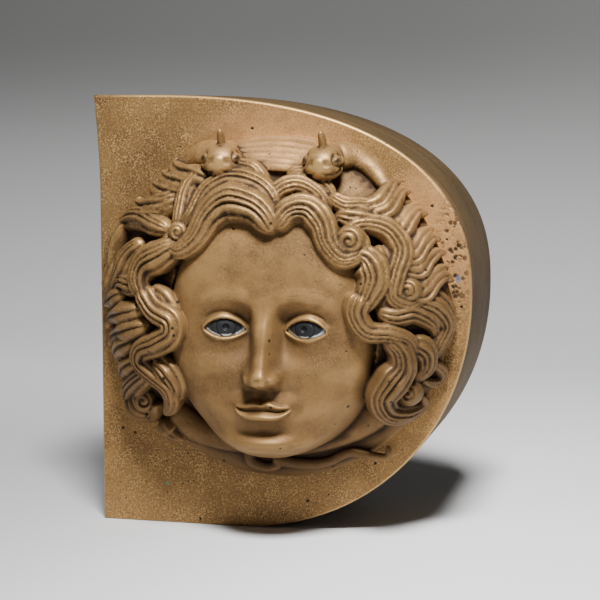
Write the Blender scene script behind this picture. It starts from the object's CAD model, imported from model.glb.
import math

import bpy
import numpy as np
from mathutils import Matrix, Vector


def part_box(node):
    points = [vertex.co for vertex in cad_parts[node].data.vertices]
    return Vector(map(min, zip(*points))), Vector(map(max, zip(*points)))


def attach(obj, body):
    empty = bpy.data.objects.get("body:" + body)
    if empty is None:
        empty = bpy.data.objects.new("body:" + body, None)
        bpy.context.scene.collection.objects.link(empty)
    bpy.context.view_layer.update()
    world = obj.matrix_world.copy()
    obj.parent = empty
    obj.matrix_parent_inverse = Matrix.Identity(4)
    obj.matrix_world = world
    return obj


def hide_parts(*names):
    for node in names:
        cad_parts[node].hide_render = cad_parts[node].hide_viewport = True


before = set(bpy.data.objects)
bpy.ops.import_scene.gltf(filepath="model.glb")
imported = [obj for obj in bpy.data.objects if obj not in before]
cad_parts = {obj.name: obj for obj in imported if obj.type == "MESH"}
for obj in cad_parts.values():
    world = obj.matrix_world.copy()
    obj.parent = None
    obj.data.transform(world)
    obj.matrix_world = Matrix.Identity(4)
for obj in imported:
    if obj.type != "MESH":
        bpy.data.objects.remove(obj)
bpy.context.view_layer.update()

# The fitting is laid out as its founder would measure it: millimetres right of the plate's left edge,
# back from its front face and up from its underside. The frame's casting says where that corner is.
MM = 0.001
HOUSING_DEPTH = 63.0
CORNER_FLARE = 2.4
casting_low, casting_high = (np.array(corner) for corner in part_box("casting"))
ORIGIN = np.array(
    [casting_low[0] + CORNER_FLARE * MM, casting_high[1] - HOUSING_DEPTH * MM, casting_low[2]]
)


def placed(points):
    return ORIGIN + np.asarray(points, float) * MM


# The camera stands in front and a little to the right and above, about 70 cm away, and looks slightly
# down, as a lens of about 100 mm on full frame does.
CAMERA_PLACE = (253.7, -688.1, 180.7)
CAMERA_TURN = 13.52
CAMERA_TILT = 6.62
camera = bpy.data.objects.new("camera", bpy.data.cameras.new("camera"))
camera.data.lens = 102.0
camera.data.sensor_width = 36.0
camera.location = placed(CAMERA_PLACE)
camera.rotation_euler = (math.radians(90 - CAMERA_TILT), 0, math.radians(CAMERA_TURN))
bpy.context.collection.objects.link(camera)
bpy.context.scene.camera = camera

# The housing is a D-shaped bronze box, open behind, that capped a timber end. Its walls were cast
# thin, except for the straight side, and its front rim was filed to a narrow bevel.
HEIGHT = 184.0
PLATE_WIDTH = 160.5
PLATE_THICKNESS = 3.5
CURVED_WALL = 3.2
FLAT_WALL = 22.0
FOOT_LENGTH = 60.0
TOP_FLAT_LENGTH = 20.0
WIDEST_AT = 101.0
LOWER_FULLNESS = 2.05
UPPER_FULLNESS = 2.45
FLARE_START = 148.0
RIM_BEVEL = 1.0
BACK_ROUNDING = 0.35
INNER_FILLET = 1.5


def housing_outline(wall, straight_wall):
    """The outline in x and z, the same number of points for each wall, from the lower left corner."""
    right, top = PLATE_WIDTH - wall, HEIGHT - wall
    quarter = np.linspace(0, math.pi / 2, 40)
    foot = np.column_stack([np.linspace(straight_wall, FOOT_LENGTH, 8)[:-1], np.full(7, wall)])
    lower = np.column_stack(
        [
            FOOT_LENGTH + (right - FOOT_LENGTH) * np.sin(quarter) ** (2 / LOWER_FULLNESS),
            WIDEST_AT - (WIDEST_AT - wall) * np.cos(quarter) ** (2 / LOWER_FULLNESS),
        ]
    )
    flat_end = max(TOP_FLAT_LENGTH, straight_wall + 1)
    upper = np.column_stack(
        [
            flat_end + (right - flat_end) * np.cos(quarter) ** (2 / UPPER_FULLNESS),
            WIDEST_AT + (top - WIDEST_AT) * np.sin(quarter) ** (2 / UPPER_FULLNESS),
        ]
    )[1:]
    side_z = np.linspace(top, wall, 25)
    lean = np.clip((side_z - FLARE_START) / (HEIGHT - FLARE_START), 0, 1)
    flare = CORNER_FLARE * (0.5 * lean + 0.5 * lean**2) * (straight_wall < FLAT_WALL)
    side = np.column_stack([straight_wall - flare, side_z])[:-1]
    return np.vstack([foot, lower, upper, side])


def mesh_object(name, points, faces):
    """A closed mesh whose faces point out, whichever way round they were listed."""
    points = np.asarray(points, float)
    corners = np.array([(f[0], f[k], f[k + 1]) for f in faces for k in range(1, len(f) - 1)])
    a, b, c = (points[corners[:, k]] for k in range(3))
    if np.sum(a * np.cross(b, c)) < 0:
        faces = [tuple(reversed(f)) for f in faces]
    mesh = bpy.data.meshes.new(name)
    mesh.from_pydata([tuple(p) for p in points], [], [tuple(f) for f in faces])
    mesh.validate()
    piece = bpy.data.objects.new(name, mesh)
    bpy.context.collection.objects.link(piece)
    return piece


def with_modifier(piece, kind, **settings):
    """Puts one modifier on a piece and keeps its result as the piece's own mesh."""
    modifier = piece.modifiers.new(kind, kind)
    for key, value in settings.items():
        setattr(modifier, key, value)
    graph = bpy.context.evaluated_depsgraph_get()
    result = bpy.data.meshes.new_from_object(piece.evaluated_get(graph), depsgraph=graph)
    piece.modifiers.clear()
    old = piece.data
    piece.data = result
    bpy.data.meshes.remove(old)
    return piece


def loft(rows):
    """A closed solid through rows of points, each row once around."""
    rows = np.asarray(rows, float)
    count, around = rows.shape[:2]
    faces = []
    for i in range(count - 1):
        for j in range(around):
            a, b = i * around + j, i * around + (j + 1) % around
            faces.append((a, b, b + around, a + around))
    faces += [tuple(reversed(range(around))), tuple(range((count - 1) * around, count * around))]
    return rows.reshape(-1, 3), faces


# the wall's section, from the front rim back along the outside and forward again inside: how far it
# lies within the outline, and how far behind the front face
wall_section = [
    (RIM_BEVEL, 0.0), (0.35, 0.3), (0.08, 0.75), (0.0, 1.6),
    (0.0, HOUSING_DEPTH - 1.0), (BACK_ROUNDING, HOUSING_DEPTH), (CURVED_WALL - BACK_ROUNDING, HOUSING_DEPTH),
    (CURVED_WALL, HOUSING_DEPTH - 0.6),
    (CURVED_WALL, PLATE_THICKNESS + INNER_FILLET), (CURVED_WALL + INNER_FILLET, PLATE_THICKNESS),
]
rings = []
for wall, y in wall_section:
    inside = wall >= CURVED_WALL - 0.5
    outline = housing_outline(wall, wall + (FLAT_WALL - CURVED_WALL) if inside else wall)
    rings.append(np.column_stack([outline[:, 0], np.full(len(outline), y), outline[:, 1]]))
points, faces = loft(rings)
housing = mesh_object("housing", placed(points), faces)

# The face is the founder's plain ideal: three equal thirds high, five eyes wide, calm and even. It
# stands out from the plate as a height at each place right of its axis and above its brow line.
HEAD_CENTRE = (80.0, 95.5)
HEAD_RADIUS = 72.0
FACE_AXIS = 1.5
FACE_THIRD = 31.2
BROW_LINE = 3.8
EYE_WIDTH = 16.8
EYE_LINE = -9.6
UPPER_LID = 4.5
LOWER_LID = 3.1
EMBED = 3.0
# heights down the middle of the face, at places in thirds above the brow line
FACE_PROFILE = [
    (-2.08, 12), (-2.03, 24), (-1.96, 31), (-1.83, 35.4), (-1.62, 34.2), (-1.3, 35.4), (-0.99, 34.2),
    (-0.48, 33.6), (-0.14, 34.4), (0.14, 35.6), (0.5, 35.2), (0.8, 33.5), (1.15, 30), (1.5, 25.5),
]
DOME_HEIGHT = 34.0


def smooth(value):
    t = np.clip(value, 0, 1)
    return t * t * (3 - 2 * t)


def spot(u, v, centre_u, centre_v, radius_u, radius_v):
    return np.exp(-(((u - centre_u) / radius_u) ** 2) - ((v - centre_v) / radius_v) ** 2)


def curve_through(pairs, place):
    """A smooth curve through pairs of place and value."""
    xs, ys = np.array(pairs, float).T
    slope = np.gradient(ys, xs)
    i = np.clip(np.searchsorted(xs, place) - 1, 0, len(xs) - 2)
    step = xs[i + 1] - xs[i]
    t = np.clip((place - xs[i]) / step, 0, 1)
    return (
        (2 * t**3 - 3 * t**2 + 1) * ys[i] + (t**3 - 2 * t**2 + t) * step * slope[i]
        + (3 * t**2 - 2 * t**3) * ys[i + 1] + (t**3 - t**2) * step * slope[i + 1]
    )


def dome_height(x, z):
    """The dome of hair round the face, which the face's edge sinks into."""
    share = np.hypot(x, z) / (1.014 * HEAD_RADIUS)
    return DOME_HEIGHT * np.clip(1 - share**2.6, 0, 1) ** 0.6


def face_half_width(v):
    middle = -0.44 * FACE_THIRD
    down = np.clip((middle - v) / (1.61 * FACE_THIRD), 0, 1)
    up = np.clip((v - middle) / (1.97 * FACE_THIRD), 0, 1)
    return 2.53 * EYE_WIDTH * np.where(v < middle, (1 - down**2.35) ** 0.49, (1 - up**2.2) ** 0.5)


def lid_edges(e):
    """The upper and lower edge of the eye's opening, at e from its middle towards the temple."""
    open_share = np.clip(1 - (e / (EYE_WIDTH / 2 + 0.2)) ** 2, 0, 1)
    line = EYE_LINE + 0.02 * e
    return line + UPPER_LID * open_share**0.8, line - LOWER_LID * open_share**0.9


def eyeball_relief(a, v):
    """The hollow under the brow, the brow's edge and the ball of the eye."""
    e = a - EYE_WIDTH
    brow = 3.4 - 0.0165 * (a - 15) ** 2
    across = smooth((a - 3.2) / 4.5) * smooth((34 - a) / 14)
    depth = 6.2 - 2.4 * smooth((a - 8) / 16)
    relief = -depth * smooth((brow - v) / 8) * across * smooth((v + 27) / 16)
    relief += 0.8 * np.exp(-(((v - brow - 1.7) / 2.6) ** 2)) * smooth((a - 3) / 6) * smooth((33 - a) / 12)
    return relief + 4.7 * np.exp(-(((e / 9.4) ** 2 + ((v + 9.6) / 7.6) ** 2) ** 1.35))


def lid_relief(a, v):
    """The two lids, the fold above the upper one, and the opening that takes the inlay."""
    e = a - EYE_WIDTH
    top, low = lid_edges(e)
    along_lid = smooth((10.2 - np.abs(e)) / 2.2)
    relief = 1.35 * np.exp(-(((v - top - 0.9) / 1.0) ** 2)) * along_lid
    relief += 0.9 * np.exp(-(((v - low + 0.7) / 0.85) ** 2)) * along_lid
    relief -= 0.7 * np.exp(-(((v - top - 3.2) / 0.8) ** 2)) * smooth((10.6 - np.abs(e)) / 3.5)
    opening = smooth((top - v) / 0.35) * smooth((v - low) / 0.35) * (np.abs(e) < EYE_WIDTH / 2)
    return relief - 1.7 * opening


def nose_relief(a, v):
    """The ridge of the nose with its tip, wings and nostrils."""
    ridge = [
        (-33.6, 0), (-32.6, 4.2), (-30.8, 9.8), (-28.2, 11.6), (-23.5, 10.2), (-17, 7.9), (-8, 5), (-2, 2.5),
        (4, 0.7), (10, 0),
    ]
    rise = curve_through(ridge, v)
    side = np.interp(v, [-33, -28, -23.5, -15, -6, 3], [4.3, 4.7, 4.3, 3.9, 3.9, 5.4])
    rise = np.where((v < -33.6) | (v > 10), 0, rise)
    relief = rise / (1 + (a / side) ** 3.6) + 5.4 * spot(a, v, 6.0, -28.4, 2.4, 2.8)
    return relief - 0.8 * spot(a, v, 9.2, -28.2, 1.6, 3.2) - 2.2 * spot(a, v, 3.4, -32.2, 1.7, 1.0)


def mouth_relief(a, v):
    """The two lips, the groove above them and the rise of the chin below."""
    share = np.clip(1 - (a / 12.5) ** 2, 0, 1)
    line = -41.4 + 0.3 * np.cos(a / 12.5 * np.pi * 1.7) + 0.9 * (a / 12.5) ** 3
    bow = 1 + 0.2 * spot(a, v, 3.4, -38.4, 2.4, 9) - 0.2 * spot(a, v, 0, -38.4, 1.6, 9)
    above = np.clip((v - line) / np.maximum(4.2 * share**0.8 * bow, 0.2), 0, 1)
    below = np.clip((line - v) / np.maximum(5.6 * share**0.8, 0.2), 0, 1)
    upper = 2.5 * smooth((1 - above) / 0.45) * (0.3 + 0.7 * smooth(above / 0.6))
    lower = 3.8 * smooth((1 - below) / 0.4) * (0.2 + 0.8 * smooth(below / 0.6))
    relief = share**0.5 * np.where(v >= line, upper, lower)
    relief -= 1.1 * np.exp(-(((v - line) / 0.6) ** 2)) * smooth((13.2 - a) / 1.5)
    relief += 2.2 * spot(a, v, 0, -41, 17, 9) - 0.7 * spot(a, v, 0, -35, 1.7, 2.4)
    relief += 0.4 * spot(a, v, 3.1, -35, 1.1, 2.4) - 0.6 * spot(a, v, 13.4, -40.6, 2.2, 2.0)
    return relief - 1.2 * spot(a, v, 0, -50.6, 9, 2.6) + 1.6 * spot(a, v, 0, -57, 9, 4.8)


def face_height(u, v):
    """How far the face stands out, at u right of its axis and v above its brow line."""
    a = np.abs(u)
    share = np.clip(a / np.maximum(face_half_width(v), 0.5), 0, 1)
    edge = 8 + (dome_height(u + FACE_AXIS, v + BROW_LINE) - 14) * smooth((v + 55.8) / 32)
    height = edge + (curve_through(FACE_PROFILE, v / FACE_THIRD) - edge) * (1 - share**3) ** 0.52
    height += 1.5 * spot(a, v, 25, -23, 12, 9) - 0.4 * spot(a - 0.42 * (-31 - v), v, 12, -35, 3.6, 7)
    return height + eyeball_relief(a, v) + nose_relief(a, v) + mouth_relief(a, v)


def face_points(u, v, height):
    x = HEAD_CENTRE[0] + FACE_AXIS + u
    return np.column_stack([x.ravel(), -height.ravel(), (HEAD_CENTRE[1] + BROW_LINE + v).ravel()])


def closed_grid(front, rows, columns, rear):
    """Points and faces of a solid from a grid of front points and the matching rear points."""
    faces = []
    for i in range(rows - 1):
        for j in range(columns - 1):
            a = i * columns + j
            faces.append((a, a + 1, a + columns + 1, a + columns))
    shift = rows * columns
    faces += [tuple(shift + k for k in reversed(face)) for face in faces]
    edge = list(range(columns)) + [i * columns + columns - 1 for i in range(1, rows)]
    edge += [(rows - 1) * columns + j for j in range(columns - 2, -1, -1)]
    edge += [i * columns for i in range(rows - 2, 0, -1)]
    for k, a in enumerate(edge):
        b = edge[(k + 1) % len(edge)]
        faces.append((b, a, a + shift, b + shift))
    return np.vstack([front, rear]), faces


FACE_ROWS, FACE_COLUMNS = 250, 220
face_v = np.linspace(-2.047 * FACE_THIRD, 1.38 * FACE_THIRD, FACE_ROWS)
face_s = np.linspace(-1, 1, FACE_COLUMNS)
grid_v, grid_s = np.meshgrid(face_v, face_s, indexing="ij")
grid_u = grid_s * face_half_width(grid_v)
front = face_points(grid_u, grid_v, face_height(grid_u, grid_v) + lid_relief(np.abs(grid_u), grid_v))
rear = front * (1, 0, 1) + (0, EMBED, 0)
solids = [closed_grid(front, FACE_ROWS, FACE_COLUMNS, rear)]

# The hair falls over a low dome that carries its locks. Below the chin the dome gives way to a bare
# disc, on which the snakes' tails are tied.
DISC_HEIGHT = 6.0
HAIR_DEPTH = 4.2


def hair_base_height(x, z):
    """The ground under the locks: the dome with fine waves, the smooth cap on top and the disc below."""
    from_below = np.abs(np.arctan2(x, -z))
    bare = 1 - smooth((from_below - 0.7) / 0.35)
    share = np.hypot(x, z) / (1.01 * HEAD_RADIUS)
    disc = DISC_HEIGHT * np.sqrt(np.clip(1 - share**14, 0, 1))
    radial = np.hypot(x, z)
    cap = smooth((z / radial - 0.93) / 0.04) * smooth((radial - 0.76 * HEAD_RADIUS) / 5)
    height = dome_height(x, z) - 0.7 - HAIR_DEPTH * smooth(dome_height(x, z) / 20) * (1 - cap)
    u, v = x - FACE_AXIS, z - BROW_LINE
    inside = smooth((face_half_width(v) - np.abs(u)) / 2 + 0.5) * smooth((v + 64) / 2) * smooth((41 - v) / 2)
    height = height * (1 - bare) + disc * bare
    wave = 0.5 * np.sin(108 * np.arctan2(z, x) + 2.4 * np.sin(np.hypot(x, z) / 5)) + 0.5
    height -= 0.15 * (1 - wave) * (1 - bare) * (1 - cap)
    return np.maximum(0.5, height * (1 - inside) + np.minimum(height, 12) * inside)


base_rings = np.sin(np.linspace(0.02, 1, 80) * math.pi / 2)
base_turns = np.linspace(0, 2 * math.pi, 864, endpoint=False)
radius, turn = np.meshgrid(HEAD_RADIUS * base_rings, base_turns, indexing="ij")
base_x, base_z = radius * np.cos(turn), radius * np.sin(turn)
front = np.stack([HEAD_CENTRE[0] + base_x, -hair_base_height(base_x, base_z), HEAD_CENTRE[1] + base_z], -1)
solids.append(loft([*front, front[-1] * (1, 0, 1) + (0, EMBED, 0)]))


# Each lock is a tapering ribbon of strands, modelled in wax along its own path and laid over the
# dome. A path is in hundredths of the head's radius, right and up from its centre, root first.
class Maths:
    """A value in a node tree. Sums and products of such values build its maths nodes."""

    def __init__(self, tree, socket):
        self.tree, self.socket = tree, socket

    def node(self, kind, settings, inputs, output=0):
        """Any other node: its type, its settings, then the values or links of its inputs."""
        made = self.tree.nodes.new(kind)
        for name, value in settings.items():
            setattr(made, name, value)
        for name, value in inputs.items():
            if isinstance(value, Maths):
                self.tree.links.new(value.socket, made.inputs[name])
            else:
                made.inputs[name].default_value = value
        return Maths(self.tree, made.outputs[output])

    def maths(self, operation, *values):
        return self.node("ShaderNodeMath", {"operation": operation}, dict(enumerate(values)))

    def __add__(self, other):
        return self.maths("ADD", self, other)

    def __sub__(self, other):
        return self.maths("SUBTRACT", self, other)

    def __rsub__(self, other):
        return self.maths("SUBTRACT", other, self)

    def __mul__(self, other):
        return self.maths("MULTIPLY", self, other)

    def __truediv__(self, other):
        return self.maths("DIVIDE", self, other)

    def __rtruediv__(self, other):
        return self.maths("DIVIDE", other, self)

    def __pow__(self, other):
        return self.maths("POWER", self, other)

    def __abs__(self):
        return self.maths("ABSOLUTE", self)

    __radd__ = __add__
    __rmul__ = __mul__

    def step(self, low, high):
        """Nought below low and one above high, with a soft step between."""
        inputs = {"Value": self, "From Min": low, "From Max": high}
        return self.node("ShaderNodeMapRange", {"interpolation_type": "SMOOTHSTEP"}, inputs)


def lock_tree():
    """Sweeps a ridged section along paths that carry their own width and facing."""
    tree = bpy.data.node_groups.new("lock of hair", "GeometryNodeTree")
    for name, kind, value in (
        ("Paths", "NodeSocketGeometry", None),
        ("Strands", "NodeSocketFloat", 3.0),
        ("Groove Depth", "NodeSocketFloat", 0.4),
        ("Crown", "NodeSocketFloat", 0.4),
        ("Sink", "NodeSocketFloat", 0.6),
        ("Section Points", "NodeSocketInt", 64),
        ("Unevenness", "NodeSocketFloat", 0.5),
        ("Metal", "NodeSocketMaterial", None),
    ):
        socket = tree.interface.new_socket(name=name, in_out="INPUT", socket_type=kind)
        if value is not None:
            socket.default_value = value
    tree.interface.new_socket(name="Locks", in_out="OUTPUT", socket_type="NodeSocketGeometry")
    group = tree.nodes.new("NodeGroupInput")
    given = {socket.name: Maths(tree, socket) for socket in group.outputs if socket.name}
    node = given["Strands"].node

    # the section is a circle whose upper half rises into strands and whose lower half is sunk
    circle = node(
        "GeometryNodeCurvePrimitiveCircle", {}, {"Resolution": given["Section Points"], "Radius": 1.0}
    )
    place = node("GeometryNodeInputPosition", {}, {})
    across = node("ShaderNodeSeparateXYZ", {}, {0: place}, "X")
    above = node("ShaderNodeSeparateXYZ", {}, {0: place}, "Y")
    share = (across + 1) * 0.5
    strand = (share + share.maths("SINE", share * 8.2 + 1) * 0.045) * given["Strands"]
    from_ridge = abs(strand.maths("FRACT", strand) ** 0.75 * 2 - 1)
    ridged = 1 - from_ridge**2.2 * given["Groove Depth"]
    upper = above.maths("MAXIMUM", above, 0.0) * given["Crown"] * ridged
    lower = above.maths("MINIMUM", above, 0.0) * given["Sink"]
    section = node("ShaderNodeCombineXYZ", {}, {"X": upper + lower, "Y": across * 0.5})
    section = node("GeometryNodeSetPosition", {}, {"Geometry": circle, "Position": section})

    # the path's points carry the way the lock faces and how wide it is there
    facing = node("GeometryNodeInputNamedAttribute", {"data_type": "FLOAT_VECTOR"}, {"Name": "facing"})
    width = node("GeometryNodeInputNamedAttribute", {"data_type": "FLOAT"}, {"Name": "width"})
    path = node("GeometryNodeMeshToCurve", {}, {"Mesh": given["Paths"]})
    path = node("GeometryNodeSetCurveNormal", {"mode": "FREE"}, {"Curve": path, "Normal": facing})
    swept = {"Curve": path, "Profile Curve": section, "Scale": width, "Fill Caps": True}
    lock = node("GeometryNodeCurveToMesh", {}, swept)

    # hand-worked wax is never quite even
    noise = node("ShaderNodeTexNoise", {}, {"Scale": 0.11, "Detail": 2.0})
    normal = node("GeometryNodeInputNormal", {}, {})
    shift = {0: normal, "Scale": (noise - 0.5) * given["Unevenness"]}
    shift = node("ShaderNodeVectorMath", {"operation": "SCALE"}, shift)
    lock = node("GeometryNodeSetPosition", {}, {"Geometry": lock, "Offset": shift})
    lock = node("GeometryNodeRealizeInstances", {}, {"Geometry": lock})
    lock = node("GeometryNodeSetMaterial", {}, {"Geometry": lock, "Material": given["Metal"]})
    tree.links.new(lock.socket, tree.nodes.new("NodeGroupOutput").inputs[0])
    return tree


LOCK_TREE = lock_tree()


def on_head(places, lift):
    """Points over the dome, in the fitting's millimetres."""
    x, z = np.asarray(places, float).T * HEAD_RADIUS / 100
    return np.column_stack([HEAD_CENTRE[0] + x, -np.maximum(dome_height(x, z), 3) - lift, HEAD_CENTRE[1] + z])


def smooth_path(points, step=0.8):
    """A curve through the points, resampled at even steps."""
    points = np.asarray(points, float)
    padded = np.vstack([2 * points[0] - points[1], points, 2 * points[-1] - points[-2]])
    fine = []
    for k in range(1, len(padded) - 2):
        a, b, c, d = padded[k - 1 : k + 3]
        t = np.linspace(0, 1, 24, endpoint=False)[:, None]
        fine.append(
            0.5 * (2 * b + (c - a) * t + (2 * a - 5 * b + 4 * c - d) * t**2 + (3 * b - a - 3 * c + d) * t**3)
        )
    fine = np.vstack(fine + [points[-1:]])
    length = np.r_[0, np.cumsum(np.linalg.norm(np.diff(fine, axis=0), axis=1))]
    even = np.linspace(0, length[-1], max(6, int(length[-1] / step)))
    return np.column_stack([np.interp(even, length, fine[:, k]) for k in range(3)])


def facing_out(points):
    """The way hair faces: towards the front, and leaning outwards near the head's rim."""
    x, z = points[:, 0] - HEAD_CENTRE[0], points[:, 2] - HEAD_CENTRE[1]
    radial = np.hypot(x, z)
    lean = 0.85 * np.minimum(1.1, radial / HEAD_RADIUS) ** 4
    out = np.column_stack([x / radial * np.sin(lean), -np.cos(lean), z / radial * np.sin(lean)])
    tangent = np.gradient(points, axis=0)
    tangent /= np.linalg.norm(tangent, axis=1, keepdims=True)
    out -= tangent * np.sum(out * tangent, axis=1, keepdims=True)
    return out / np.linalg.norm(out, axis=1, keepdims=True)


def swept_locks(name, paths, strands, groove, crown, sink=1.1, facing=None):
    """One mesh of many locks: each is its points, and its width at the root, the middle and the tip."""
    points, edges, facings, widths = [], [], [], []
    for path, (root, middle, tip) in paths:
        path = smooth_path(path)
        t = np.linspace(0, 1, len(path))
        width = np.interp(t, [0, 0.35, 1], [root, middle, tip])
        length = np.linalg.norm(np.diff(path, axis=0), axis=1).sum()
        for from_end, roundness in ((t * length, 0.45), ((1 - t) * length, 0.9)):
            closing = 1 - np.clip(from_end / (roundness * np.maximum(middle, 0.1)), 0, 1)
            width = width * np.sqrt(np.clip(1 - closing**2, 0.01, 1))
        first = sum(len(p) for p in points)
        edges += [(first + k, first + k + 1) for k in range(len(path) - 1)]
        points.append(path)
        facings.append(facing_out(path) if facing is None else np.tile(facing, (len(path), 1)))
        widths.append(width)
    guide = bpy.data.meshes.new(name)
    guide.from_pydata([tuple(p) for p in np.vstack(points)], edges, [])
    facing_data = guide.attributes.new("facing", "FLOAT_VECTOR", "POINT").data
    facing_data.foreach_set("vector", np.vstack(facings).ravel())
    guide.attributes.new("width", "FLOAT", "POINT").data.foreach_set("value", np.hstack(widths))
    piece = bpy.data.objects.new(name, guide)
    bpy.context.collection.objects.link(piece)
    modifier = piece.modifiers.new("locks", "NODES")
    modifier.node_group = LOCK_TREE
    inputs = {s.name: s.identifier for s in LOCK_TREE.interface.items_tree if s.in_out == "INPUT"}
    modifier[inputs["Strands"]] = float(strands)
    modifier[inputs["Groove Depth"]] = groove
    modifier[inputs["Crown"]] = crown
    modifier[inputs["Sink"]] = sink
    modifier[inputs["Unevenness"]] = 1.0
    graph = bpy.context.evaluated_depsgraph_get()
    mesh = bpy.data.meshes.new_from_object(piece.evaluated_get(graph), depsgraph=graph)
    bpy.data.objects.remove(piece)
    found = np.empty(3 * len(mesh.vertices))
    mesh.vertices.foreach_get("co", found)
    faces = [tuple(polygon.vertices) for polygon in mesh.polygons]
    bpy.data.meshes.remove(mesh)
    return found.reshape(-1, 3), faces


def polar(degrees, share):
    angle = math.radians(degrees)
    return (100 * share * math.cos(angle), 100 * share * math.sin(angle))


# each lock is its path, its widths in millimetres at the root, the middle and the tip, and its lift
wide_locks = [
    ([(8, 47), (1, 57), (-8, 62), (-20, 63), (-30, 56), (-38, 43), (-48, 36), (-56, 41), (-53, 47)],
     (9, 13.5, 4), 3.4),
    ([(8, 49), (16, 59), (26, 60), (34, 52), (38, 41), (46, 33), (55, 35), (57, 43), (51, 49)],
     (8, 10.5, 3.5), 3.2),
    ([(-48, 40), (-59, 33), (-71, 26), (-74, 16), (-68, 5)], (8, 12, 8), 2.4),
    ([(49, 33), (58, 33), (63, 23), (60, 12), (56, 3)], (5, 12, 9), 2.2),
    ([(68, -10), (76, -18), (77, -28), (71, -37), (66, -46), (69, -55), (77, -57), (85, -54), (87, -47)],
     (6, 13, 4), 2.2),
]
middle_locks = [
    ([(9, 60), (2, 69), (-8, 74), (-22, 75), (-34, 68), (-41, 55), (-49, 46)], (6, 8.5, 6), 1.6),
    ([(2, 72), (-8, 80), (-22, 82), (-34, 77)], (4, 7, 5), 0.8),
    ([(-28, 82), (-40, 78), (-47, 69), (-49, 56), (-50, 46)], (5, 6.5, 5.5), 2.2),
    ([(3, 60), (9, 70), (19, 73), (30, 68), (38, 58)], (5, 7, 4), 1.4),
    ([(11, 79), (22, 78), (33, 72), (40, 65)], (5, 6, 4), 0.6),
    ([(36, 67), (45, 62), (54, 62), (61, 60), (60, 54)], (5, 6, 3.5), 1.8),
    ([(46, 50), (58, 52), (69, 48), (76, 37), (74, 24), (73, 12), (82, 7), (88, 14), (83, 19)],
     (5, 8.5, 4), 2.4),
    ([(57, 14), (54, 3), (60, -7), (72, -9), (81, -13), (85, -23)], (9, 7, 4.5), 2.6),
    ([(83, 9), (93, 4), (98, -6), (95, -17), (90, -28)], (6, 8.5, 4.5), 1.4),
    ([(-73, 13), (-64, 2), (-53, -4), (-53, -12), (-62, -18), (-73, -23), (-75, -31), (-66, -38), (-57, -45),
      (-56, -54), (-63, -62)], (8, 9, 5), 2.4),
    ([(-55, 46), (-66, 49), (-78, 52), (-90, 49), (-98, 41), (-102, 29), (-103, 19)], (6, 8.5, 5), 1.8),
    ([(-74, 39), (-84, 31), (-91, 19), (-98, 8), (-107, 1)], (6, 8, 5.5), 1.4),
    ([(-96, 31), (-103, 19), (-106, 6)], (4, 6, 5), 0.8),
    ([(-70, -36), (-81, -44), (-90, -54), (-87, -64), (-77, -66), (-70, -58)], (7, 9, 4), 1.2),
    ([(-66, -28), (-58, -34), (-52, -44), (-54, -54)], (7, 9, 5), 0.2),
    ([(-70, -68), (-64, -76), (-56, -80)], (7, 8, 4), 0.6),
    ([(-72, 20), (-80, 14), (-89, 14), (-97, 8)], (7, 8, 5), 0.2),
    ([(64, 4), (74, 2), (83, 3), (92, -4), (94, -14)], (7, 9, 5), 0.2),
    ([(64, 40), (66, 28), (68, 14), (66, 4)], (6, 8, 5), 0.4),
    ([(80, -14), (88, -20), (88, -30), (82, -38)], (7, 9, 5), 0.2),
    ([(-50, 66), (-60, 60), (-70, 58), (-80, 60)], (8, 10, 5), 0.4),
    ([(40, 57), (52, 55), (62, 53), (74, 54)], (8, 9, 5), 0.2),
]
fine_locks = [
    ([(-66, 14), (-57, 9), (-50, 0), (-50, -8)], (4, 5, 3), 0.2),
    ([(-86, 9), (-98, 3), (-107, -1)], (6, 8.5, 4), 1.2),
    ([(-72, 1), (-86, -3), (-100, -8), (-106, -15)], (6, 9, 4), 1.6),
    ([(-68, -8), (-82, -12), (-97, -18), (-104, -25)], (6, 9, 4), 1.6),
    ([(-76, -17), (-89, -23), (-98, -31), (-97, -37)], (6, 9, 4), 1.2),
    ([(-76, -29), (-87, -35), (-94, -43), (-91, -49)], (6, 8.5, 4), 1.2),
    ([(93, 14), (99, 5), (101, -5), (99, -15)], (3.5, 4.5, 3.5), 0.6),
    ([(92, -27), (96, -34), (93, -40), (87, -38)], (3.5, 4.5, 3), 1),
]
RIGHT_RIM_LOCKS = 9
for i in range(RIGHT_RIM_LOCKS):
    share = i / (RIGHT_RIM_LOCKS - 1)
    root, sway = 47 - 39 * share, 1.3 * math.sin(2.6 * i)
    path = [
        polar(root + 2, 0.8), polar(root - 2 + sway, 0.88), polar(root - 1 + 3 * share + sway, 0.95),
        polar(root + 3 * share + sway, 0.995), polar(root - 1 + 3 * share, 1.035 + 0.006 * sway),
    ]
    fine_locks.append((path, (5, 7.6, 3.8), 1.4 + 0.4 * sway))
LEFT_RIM_LOCKS = 5
for i in range(LEFT_RIM_LOCKS):
    root, sway = 117 + 6 * i, 1.2 * math.sin(2.1 * i + 1)
    path = [
        polar(root - 4, 0.8), polar(root + 2, 0.87), polar(root + 7 + sway, 0.95),
        polar(root + 9 + sway, 1.03), polar(root + 8, 1.055),
    ]
    fine_locks.append((path, (6, 9, 4.6), 1.0 + 0.4 * sway))
CAP_LINES = 6
cap_lines = []
for i in range(CAP_LINES):
    share = 0.985 - 0.032 * i
    path = [polar(111, share), polar(99, share), polar(84, share), polar(71, share)]
    cap_lines.append((path, (3, 3.4, 3), -1.1))

for name, locks, strands, groove, crown, fullness in (
    ("wide locks", wide_locks, 5, 0.42, 0.4, 1.2),
    ("middle locks", middle_locks, 4, 0.42, 0.45, 1.3),
    ("fine locks", fine_locks, 2, 0.42, 0.5, 1.2),
    ("cap lines", cap_lines, 1, 0.0, 0.14, 1.0),
):
    paths = [(on_head(path, lift), np.array(width) * fullness) for path, width, lift in locks]
    solids.append(swept_locks(name, paths, strands, groove, crown))

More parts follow.
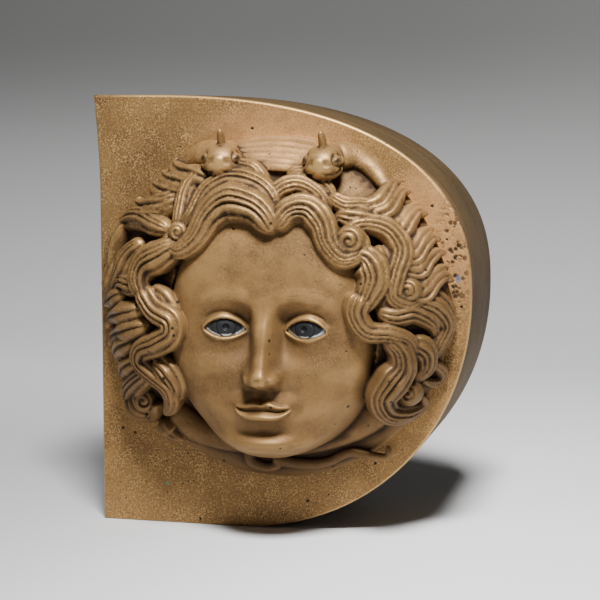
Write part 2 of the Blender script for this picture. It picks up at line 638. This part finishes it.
# A few locks wind up into a flat curl. Each is a disc of wax that was pressed on where the lock ends,
# and its strands were drawn in it as one spiral cut.
curls = [
    ((50, 43), 6.4, 7.0), ((81, 15), 5.4, 6.0), ((80, -44), 5.6, 6.0), ((-49, 46), 4.6, 6.5),
    ((-79, -56), 5.6, 5.0),
]
SPIRAL_TURNS = 2.2
SPIRAL_DEPTH = 0.9


def curl(place, radius, thickness):
    """A disc at a place on the head, with its radius and thickness in millimetres."""
    shares, turns = np.linspace(0.03, 1, 40), np.linspace(0, 2 * math.pi, 64, endpoint=False)
    share, turn = np.meshgrid(shares, turns, indexing="ij")
    spiral = 0.5 + 0.5 * np.cos(2 * math.pi * SPIRAL_TURNS * share - turn)
    height = thickness * (1 - share**5) ** 0.5 - SPIRAL_DEPTH * spiral**2 * (1 - share**6)
    x, z = radius * share * np.cos(turn), radius * share * np.sin(turn)
    front = on_head([place], 0)[0] + np.stack([x, -height, z], -1)
    return loft([*front, front[-1] + (0, EMBED, 0)])


solids += [curl(*disc) for disc in curls]

# Two snakes come forward over the brow, their heads nearly free of the hair, and their tails are
# knotted under the chin. They were modelled in wax with the hair and cast with it.
snake_bodies = [
    ([(-30, 89), (-42, 89), (-55, 84), (-66, 76)], (12, 13, 7), -0.6),
    ([(34, 89), (46, 88), (57, 81), (64, 73), (68, 66)], (13, 11, 6), 0.8),
]
paths = [(on_head(path, lift), width) for path, width, lift in snake_bodies]
solids.append(swept_locks("snake bodies", paths, 1, 0.0, 0.36))
tails = [
    ([(-64, -62), (-50, -72), (-34, -78), (-18, -81), (-3, -85)], (13, 11, 5.5)),
    ([(64, -53), (52, -64), (38, -72), (22, -78), (4, -82), (-8, -86)], (14, 10.5, 5.5)),
    ([(-7, -78), (-15, -82), (-16, -90), (-6, -94), (4, -91)], (4.5, 5, 4)),
    ([(-3, -89), (14, -91), (30, -89), (43, -83), (55, -84), (65, -84), (66, -77)], (5, 4.5, 3)),
]
paths = []
for path, width in tails:
    points = on_head(path, 0)
    points[:, 1] = -DISC_HEIGHT - 0.6
    paths.append((points, width))
solids.append(swept_locks("snake tails", paths, 1, 0.0, 0.3, 0.9, (0, -1, 0)))


def ball(centre, radius):
    rises, turns = np.linspace(0.1, math.pi - 0.1, 16), np.linspace(0, 2 * math.pi, 24, endpoint=False)
    rise, turn = np.meshgrid(rises, turns, indexing="ij")
    out = np.stack([np.sin(rise) * np.cos(turn), np.cos(rise), np.sin(rise) * np.sin(turn)], -1)
    return loft(centre + radius * out)


snake_eyes, snake_snouts = [], []


def snake_head(place, turn):
    """A blunt viper's head: brow ridges, round eyes, a long mouth, two nostrils and a small horn."""
    base = on_head([place], 1.5)[0]
    aim = np.array([turn, -1, -0.3])
    aim /= np.linalg.norm(aim)
    side = np.cross(aim, (0, 0, 1))
    side /= np.linalg.norm(side)
    crown = np.cross(side, aim)
    ahead = np.linspace(-6, 14.6, 64)[:, None]
    angle = np.linspace(0, 2 * math.pi, 72, endpoint=False)[None, :]
    widths = [(-6, 5.5), (0, 6.8), (4.5, 8.6), (8.5, 8.2), (12, 5.8), (14, 3.3), (14.6, 0.6)]
    heights = [(-6, 5.5), (0, 6.2), (4.5, 7.2), (8.5, 6.6), (12, 4.8), (14, 2.6), (14.6, 0.5)]
    wide, tall = curve_through(widths, ahead), curve_through(heights, ahead)
    mouth = -0.2 - 0.5 * smooth((ahead - 4) / 10)
    lip = np.exp(-(((np.sin(angle) - mouth) / 0.12) ** 2)) * smooth((ahead - 1) / 3)
    nostril = sum(spot(ahead, angle, 13.1, math.radians(at), 0.75, 0.4) for at in (36, 144))
    furrow = np.exp(-((np.cos(angle) / 0.22) ** 2)) * (np.sin(angle) > 0) * smooth((9 - ahead) / 3)
    socket = 0
    for at in (20, 160):
        from_eye = np.hypot(ahead - 7.6, 7.4 * (angle - math.radians(at)))
        socket = socket + np.exp(-(((from_eye - 3.0) / 0.8) ** 2))
    around = 1 - 0.3 * lip - 0.5 * nostril - 0.12 * furrow - 0.26 * socket
    across = (np.cos(angle) * wide * around)[..., None]
    up = (np.sin(angle) * tall * around)[..., None]
    parts = [loft(base + aim * ahead[..., None] + side * across + crown * up)]
    snake_snouts.append(base + aim * 14 + crown * 0.6)
    for way in (-1, 1):
        snake_eyes.append(base + aim * 8.6 + side * way * 6.6 + crown * 2.2)
        parts.append(ball(base + aim * 8.2 + side * way * 6.0 + crown * 2.1, 1.5))
        parts.append(ball(base + aim * 6.2 + side * way * 4.5 + crown * 3.9, 1.8))
    horn = []
    horn_rows = (3, 4.2, 2.4), (7.5, 4.2, 2.3), (10.5, 4.8, 2.1), (12.6, 5.6, 1.7), (13.6, 6.2, 0.7)
    for rise, reach, thick in horn_rows:
        ring = base + aim * reach + crown * rise
        horn.append(ring + side * np.cos(angle.T) * thick * 0.75 + aim * np.sin(angle.T) * thick)
    return parts + [loft(horn)]


for place, turn in (((-28, 88), 0.1), ((32, 87), -0.06)):
    solids += snake_head(place, turn)

# Head and housing are one pour of bronze: the head's forms are merged and softened here as a casting
# is, joined to the plate, and hollowed from behind to keep the wall even.
HEAD_VOXEL = 0.42
HEAD_TRIANGLES = 160000
HOLLOW_RADIUS = 56.0
HOLLOW_DEPTH = 24.0
LEAST_WALL = 2.0
UNDER_FACE_DEPTH = 30.0
LONGEST_CARVED_EDGE = 2.5
points, faces = [], []
for some_points, some_faces in solids:
    first = sum(len(p) for p in points)
    # nothing reaches out of the plate's rear
    points.append(np.minimum(some_points, (np.inf, EMBED, np.inf)))
    faces += [tuple(first + k for k in face) for face in some_faces]
head = mesh_object("head", placed(np.vstack(points)), faces)
with_modifier(head, "REMESH", mode="VOXEL", voxel_size=HEAD_VOXEL * MM)
with_modifier(head, "SMOOTH", factor=0.5, iterations=2)
with_modifier(head, "DECIMATE", ratio=min(1, HEAD_TRIANGLES / 2 / len(head.data.polygons)))

# the hollow starts behind the plate, and goes as deep as the front above each place lets it
turn = np.linspace(0, 2 * math.pi, 192, endpoint=False)
steps = [(1, -PLATE_THICKNESS - 1), (1, 0)]
steps += [(share, HOLLOW_DEPTH * (1 - share**2.6) ** 0.6) for share in np.cos(np.linspace(0.06, 1.54, 48))]
rows = []
for share, depth in steps:
    x, z = HOLLOW_RADIUS * share * np.cos(turn), HOLLOW_RADIUS * share * np.sin(turn)
    u, v = x - FACE_AXIS, z - BROW_LINE
    under_face = smooth((face_half_width(v) - np.abs(u)) / 4) * smooth((v + 62) / 4) * smooth((41 - v) / 4)
    room = hair_base_height(x, z) * (1 - under_face) + UNDER_FACE_DEPTH * under_face - LEAST_WALL
    y = -np.minimum(depth, np.maximum(room, 0))
    rows.append(np.column_stack([HEAD_CENTRE[0] + x, y, HEAD_CENTRE[1] + z]))
points, faces = loft(rows)
hollow = mesh_object("hollow", placed(points), faces)
casting = with_modifier(housing, "BOOLEAN", operation="UNION", solver="MANIFOLD", object=head)
with_modifier(casting, "BOOLEAN", operation="DIFFERENCE", solver="MANIFOLD", object=hollow)
for tool in (head, hollow):
    bpy.data.objects.remove(tool)
casting.name = "bronze_casting"


def values_of(items, name, width):
    """One property of all of a mesh's points, edges, corners or faces, a row for each."""
    found = np.empty(len(items) * width, np.float32 if name in ("co", "normal") else np.int32)
    items.foreach_get(name, found)
    return found.reshape(-1, width)


# flat walls are shaded flat, and everything that is carved or rounded is shaded smooth
normals = values_of(casting.data.polygons, "normal", 3)
is_flat = np.abs(normals).max(axis=1) > 0.9999
casting.data.polygons.foreach_set("use_smooth", ~is_flat)


def add_recess_attribute(mesh, name, rounds, reach):
    """Stores how far the front's points lie below their smoothed surroundings, below nought on a ridge."""
    place = values_of(mesh.vertices, "co", 3).astype(float)
    normal = np.array([v.vector for v in mesh.vertex_normals])
    edges = values_of(mesh.edges, "vertices", 2)
    length = np.linalg.norm(place[edges[:, 0]] - place[edges[:, 1]], axis=1)
    edges = edges[length < LONGEST_CARVED_EDGE * MM]
    a, b = np.r_[edges[:, 0], edges[:, 1]], np.r_[edges[:, 1], edges[:, 0]]
    count = np.maximum(np.bincount(a, minlength=len(place)), 1)[:, None]
    soft = place.copy()
    for _ in range(rounds):
        mean = np.column_stack([np.bincount(a, soft[b, k], len(place)) for k in range(3)]) / count
        soft = np.where(count > 1, 0.5 * soft + 0.5 * mean, soft)
    depth = np.sum((soft - place) * normal, axis=1) / (reach * MM)
    corner_vertex = values_of(mesh.loops, "vertex_index", 1).ravel()
    corner_count = values_of(mesh.polygons, "loop_total", 1).ravel()
    plain = np.repeat(is_flat | (normals[:, 1] > 0.1), corner_count)
    depth = np.where(plain, 0, np.clip(depth, -1, 1)[corner_vertex])
    mesh.attributes.new(name, "FLOAT", "CORNER").data.foreach_set("value", depth)


def add_face_attribute(mesh, name):
    """Stores one where the surface is the bare face and nought where hair or plate is in front."""
    x, y, z = ((values_of(mesh.vertices, "co", 3).astype(float) - ORIGIN) / MM).T
    u, v = x - HEAD_CENTRE[0] - FACE_AXIS, z - HEAD_CENTRE[1] - BROW_LINE
    within = smooth((face_half_width(v) - np.abs(u)) / 2.5)
    bare = within * smooth((3.2 - np.abs(y + face_height(u, v))) / 1.6)
    mesh.attributes.new(name, "FLOAT", "POINT").data.foreach_set("value", np.nan_to_num(bare))


add_face_attribute(casting.data, "face")
add_recess_attribute(casting.data, "groove", 8, 0.3)
add_recess_attribute(casting.data, "recess", 70, 1.6)


def new_material(name):
    """A material, its shader and its object coordinates."""
    made = bpy.data.materials.new(name)
    made.use_nodes = True
    shader = made.node_tree.nodes["Principled BSDF"]
    start = Maths(made.node_tree, None)
    return made, shader, start.node("ShaderNodeTexCoord", {}, {}, "Object")


def feed(made, shader, varying):
    """Joins each value that varies to its own socket of the shader."""
    for name, value in varying.items():
        made.node_tree.links.new(value.socket, shader.inputs[name])


def noise(place, scale, detail=3.0):
    return place.node("ShaderNodeTexNoise", {}, {"Vector": place, "Scale": scale, "Detail": detail})


def stretched(place, x, y, z):
    return place.node("ShaderNodeVectorMath", {"operation": "MULTIPLY"}, {0: place, 1: (x, y, z)})


def mixed(factor, first, second):
    return factor.node("ShaderNodeMix", {"data_type": "RGBA"}, {0: factor, 6: first, 7: second}, 2)


def near(place, centre, radii):
    """One at a place on the fitting, falling to nought at the radii around it."""
    inputs = {0: place, 1: tuple(placed(centre))}
    shifted = place.node("ShaderNodeVectorMath", {"operation": "SUBTRACT"}, inputs)
    scaled = stretched(shifted, *(1 / (r * MM) for r in radii))
    length = place.node("ShaderNodeVectorMath", {"operation": "LENGTH"}, {0: scaled}, "Value")
    return 1 - length.step(0.25, 1.0)


TAN = (0.29, 0.162, 0.058, 1)
BROWN = (0.12, 0.063, 0.024, 1)
PINK = (0.48, 0.255, 0.105, 1)
OLIVE = (0.032, 0.023, 0.01, 1)
DARK = (0.028, 0.015, 0.007, 1)
GOLD = (0.56, 0.345, 0.13, 1)
BLACK = (0.008, 0.007, 0.006, 1)
GREEN = (0.09, 0.22, 0.12, 1)
BLUE = (0.10, 0.16, 0.24, 1)
# where the metal's colour or surface differs: each a centre, and its reach sideways, back and up
UPPER_LEFT = (10, 0, 150), (75, 60, 90)
RIGHT_SIDE = (146, -4, 120), (40, 30, 60)
TOP = (75, -10, 165), (60, 30, 28)
FOOT = (58, 0, 22), (70, 26, 44)
UNDER_CHIN = (81, -6, 33), (54, 22, 17)
RIGHT_HAIR = (138, -14, 82), (34, 36, 64)
PITTED_RIM = (152.5, 0, 116), (10, 12, 38)
CHIPPED_CORNER = (-1, 0, 182.5), (10, 5, 6)
GREEN_SPOT = (29.5, 0, 17.3), (1.3, 2, 1.0)
BLUE_SPOT = (154.8, 0, 109), (1.6, 2, 2.4)
SNOUT_REACH = (5, 5, 4)
SNAKE_EYE_REACH = (2.3, 2.6, 1.9)


def along(place, axis):
    """The coordinate of a point along X, Y or Z."""
    return place.node("ShaderNodeSeparateXYZ", {}, {0: place}, axis)


def set_back(place, front, rear):
    """Nought at the first distance behind the front face and one at the second."""
    return along(place, "Y").step(float(placed((0, front, 0))[1]), float(placed((0, rear, 0))[1]))


bronze, shader, place = new_material("bronze")
groove = place.node("ShaderNodeAttribute", {"attribute_name": "groove"}, {}, "Fac")
recess = place.node("ShaderNodeAttribute", {"attribute_name": "recess"}, {}, "Fac")
off_face = 1 - place.node("ShaderNodeAttribute", {"attribute_name": "face"}, {}, "Fac")
patch = noise(place, 26)
cloud = noise(place, 130, 4.0)
fleck = noise(place, 2400, 5.0)
colour = mixed((patch * 0.5 + cloud * 0.5).step(0.42, 0.66), TAN, BROWN)
colour = mixed(near(place, *UPPER_LEFT) * 0.16, colour, OLIVE)
rosy = noise(place, 17) * (near(place, *RIGHT_SIDE) + near(place, *TOP))
colour = mixed(rosy.step(0.12, 0.5) * 0.9, colour, PINK)
colour = mixed(near(place, *FOOT) * (0.35 + patch * 0.6), colour, BROWN)
grain = fleck * 0.6 + noise(place, 1100, 2.0) * 0.4
colour = mixed((grain + cloud * 0.25).step(0.62, 0.74) * (0.2 + off_face * 0.5), colour, GOLD)
colour = mixed((grain + cloud * 0.2).step(0.58, 0.44) * (0.2 + off_face * 0.4), colour, BROWN)
colour = mixed(noise(place, 70, 4.0).step(0.54, 0.66) * 0.25, colour, BROWN)
behind = set_back(place, 0.9, 2.4)
streak = noise(stretched(place, 12, 300, 12), 1.0, 4.0)
colour = mixed(behind * (0.62 + streak * 0.36), colour, OLIVE)
worn = (0 - groove).step(0.12, 0.8)
colour = mixed(worn * 0.5, colour, GOLD)
raised = 1 - set_back(place, -4, -0.6)
lower = 1 - along(place, "Z").step(0.035, 0.125)
colour = mixed(raised * (0.06 + off_face * 0.3 + lower * 0.5), colour, BROWN)
colour = mixed(near(place, *UNDER_CHIN) * 0.5, colour, DARK)
colour = mixed(near(place, *RIGHT_HAIR) * off_face * raised * 0.35, colour, DARK)
dirt = (groove.step(0.0, 0.7) * 0.6 + recess.step(-0.25, 0.6) * 0.75) * raised
dirt = dirt * (0.3 + off_face * 0.6 + lower * 0.15)
colour = mixed(dirt.maths("MINIMUM", dirt, 0.95), colour, DARK)
for snout in snake_snouts:
    colour = mixed(near(place, snout, SNOUT_REACH) * 0.7, colour, GOLD)
for eye in snake_eyes:
    colour = mixed(near(place, eye, SNAKE_EYE_REACH) * 0.9, colour, BLACK)


def pits(place, scale, size, share):
    """Round pits, in a share of the cells of a random pattern."""
    inputs = {"Vector": place, "Scale": scale, "Randomness": 1.0}
    distance = place.node("ShaderNodeTexVoronoi", {}, inputs, "Distance")
    cell = place.node("ShaderNodeTexVoronoi", {}, inputs, "Color")
    chosen = place.node("ShaderNodeSeparateColor", {}, {0: cell}, 0)
    return (1 - distance.step(size * 0.5, size)) * chosen.maths("LESS_THAN", chosen, share)


eaten = near(place, *PITTED_RIM) * noise(place, 300, 4.0).step(0.37, 0.46)
eaten = eaten * pits(place, 400, 0.62, 0.95)
holes = pits(place, 170, 0.16, 0.16) + pits(place, 420, 0.22, 0.1) * noise(place, 40).step(0.45, 0.6)
hole = (eaten + holes).maths("MINIMUM", eaten + holes, 1.0)
colour = mixed(hole * 0.92, colour, BLACK)
colour = mixed(near(place, *GREEN_SPOT), colour, GREEN)
colour = mixed(near(place, *BLUE_SPOT) * 0.8, colour, BLUE)
chipped = near(place, *CHIPPED_CORNER) * noise(place, 450, 4.0).step(0.5, 0.6)
colour = mixed(chipped * 0.6, colour, BROWN)
rough = 0.56 + dirt * 0.3 - worn * 0.12 + (cloud - 0.5) * 0.25 + behind * 0.2
height = fleck * 0.35 + cloud * 0.8 + noise(place, 2600, 2.0) * 0.2 - hole * 3 - chipped * 3
bump = place.node("ShaderNodeBump", {}, {"Strength": 0.35, "Distance": 0.25 * MM, "Height": height})
metallic = 0.55 - dirt * 0.4 - behind * 0.2
feed(bronze, shader, {"Base Color": colour, "Roughness": rough, "Metallic": metallic, "Normal": bump})
shader.inputs["Specular IOR Level"].default_value = 0.25
casting.data.materials.clear()
casting.data.materials.append(bronze)
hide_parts("casting")
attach(casting, "root")

# The eyes are two domed pieces of sheet silver, cut to the lids' opening and set in bitumen. Each has
# a cut ring for the iris and a drilled pupil, and the silver has tarnished nearly black.
INLAY_GAP = 0.3
INLAY_THICKNESS = 1.1
IRIS_RADIUS = 4.1
IRIS_LIFT = 1.0
IRIS_CUT = 0.35
PUPIL_DEPTH = 1.0
INLAY_SINK = 0.45
TARNISH = (0.018, 0.019, 0.021, 1)
BRIGHT = (0.62, 0.63, 0.62, 1)
INLAY_ROWS, INLAY_COLUMNS = 60, 90
silver, shader, place = new_material("silver")
shine = place.node("ShaderNodeAttribute", {"attribute_name": "shine"}, {}, "Fac")
scratch = noise(place, 900, 4.0)
wipe = (shine * 0.75 + scratch * 0.5).step(0.4, 0.85)
colour = mixed(wipe, TARNISH, BRIGHT)
rough = 0.52 - wipe * 0.26
metallic = 0.55 + wipe * 0.45
height = noise(place, 700, 4.0)
bump = place.node("ShaderNodeBump", {}, {"Strength": 0.5, "Distance": 0.2 * MM, "Height": height})
feed(silver, shader, {"Base Color": colour, "Roughness": rough, "Metallic": metallic, "Normal": bump})

for name, way in (("eye_inlay_left", -1), ("eye_inlay_right", 1)):
    e, up = np.meshgrid(np.linspace(-1, 1, INLAY_COLUMNS), np.linspace(0, 1, INLAY_ROWS))
    e = e * (EYE_WIDTH / 2 - INLAY_GAP - 0.2)
    top, low = lid_edges(e)
    v = low + INLAY_GAP + (top - low - 2 * INLAY_GAP) * up
    a = EYE_WIDTH + e
    from_pupil = np.hypot(e + 0.6, v - EYE_LINE - IRIS_LIFT)
    height = face_height(a, v) - INLAY_SINK
    cut = IRIS_CUT * np.exp(-(((from_pupil - IRIS_RADIUS) / 0.35) ** 2))
    cut += PUPIL_DEPTH * (1 - smooth((from_pupil - 0.8) / 0.7))
    front = face_points(way * a, v, height - cut)
    rear = face_points(way * a, v, height - INLAY_THICKNESS)
    points, faces = closed_grid(front, INLAY_ROWS, INLAY_COLUMNS, rear)
    inlay = mesh_object(name, placed(points), faces)
    rim_shine = 1 - smooth((v - low - INLAY_GAP) / 1.6)
    shine = 0.95 * rim_shine + 0.35 * smooth((np.abs(e) - 4.5) / 3) - 1.5 * cut
    shine = np.clip(np.r_[shine.ravel(), shine.ravel()], 0, 1)
    inlay.data.attributes.new("shine", "FLOAT", "POINT").data.foreach_set("value", shine)
    inlay.data.shade_smooth()
    inlay.data.materials.append(silver)
    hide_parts(name)
    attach(inlay, "root")

# A pale floor runs up into a pale backdrop in one sweep, as wide paper does in a studio. One lamp
# hangs above the front, a little to the right, and a wide faint one fills from the left.
BEND_START = 450.0
BEND_RADIUS = 900.0
PALE_PAPER = (0.82, 0.82, 0.82, 1)
HIGH_PAPER = (0.28, 0.28, 0.275, 1)
FRONT_PAPER = (0.22, 0.22, 0.22, 1)
LEFT_PAPER = (0.2, 0.2, 0.2, 1)
sweep = [(-1500.0, 0.0), (BEND_START, 0.0)]
for t in np.linspace(0.05, 1.5, 30):
    sweep.append((BEND_START + BEND_RADIUS * math.sin(t), BEND_RADIUS * (1 - math.cos(t))))
points = placed([(x, y, z) for y, z in sweep for x in (-2500, 2700)])
faces = [(2 * k, 2 * k + 1, 2 * k + 3, 2 * k + 2) for k in range(len(sweep) - 1)]
mesh = bpy.data.meshes.new("studio")
mesh.from_pydata([tuple(p) for p in points], [], faces)
mesh.shade_smooth()
studio = bpy.data.objects.new("studio", mesh)
bpy.context.collection.objects.link(studio)
paper, shader, place = new_material("paper")
x, y, z = (along(place, axis) for axis in "XYZ")
shade = mixed(z.step(-0.03, 0.27), PALE_PAPER, HIGH_PAPER)
shade = mixed(1 - y.step(-0.35, -0.12), shade, FRONT_PAPER)
left = 1 - x.step(-0.15, 0.1)
shade = mixed(left * (1 - y.step(0.1, 0.45)) * 0.6 + left * z.step(0.12, 0.25) * 0.4, shade, LEFT_PAPER)
feed(paper, shader, {"Base Color": shade})
shader.inputs["Roughness"].default_value = 0.8
studio.data.materials.append(paper)

world = bpy.data.worlds.new("studio")
world.use_nodes = True
world.node_tree.nodes["Background"].inputs["Color"].default_value = (0.85, 0.85, 0.85, 1)
world.node_tree.nodes["Background"].inputs["Strength"].default_value = 0.04
bpy.context.scene.world = world
LAMPS_AIM = (80.0, 0.0, 80.0)
for name, place, size, power in (
    ("key", (230, -450, 850), 200, 25),
    ("left fill", (-700, -600, 350), 600, 0.5),
):
    light = bpy.data.lights.new(name, "AREA")
    light.energy = power
    light.size = size * MM
    lamp = bpy.data.objects.new(name, light)
    lamp.location = placed(place)
    aim = np.array(LAMPS_AIM) - np.array(place)
    tilt = math.atan2(math.hypot(aim[0], aim[1]), -aim[2])
    lamp.rotation_euler = (tilt, 0, math.atan2(-aim[0], aim[1]))
    bpy.context.collection.objects.link(lamp)
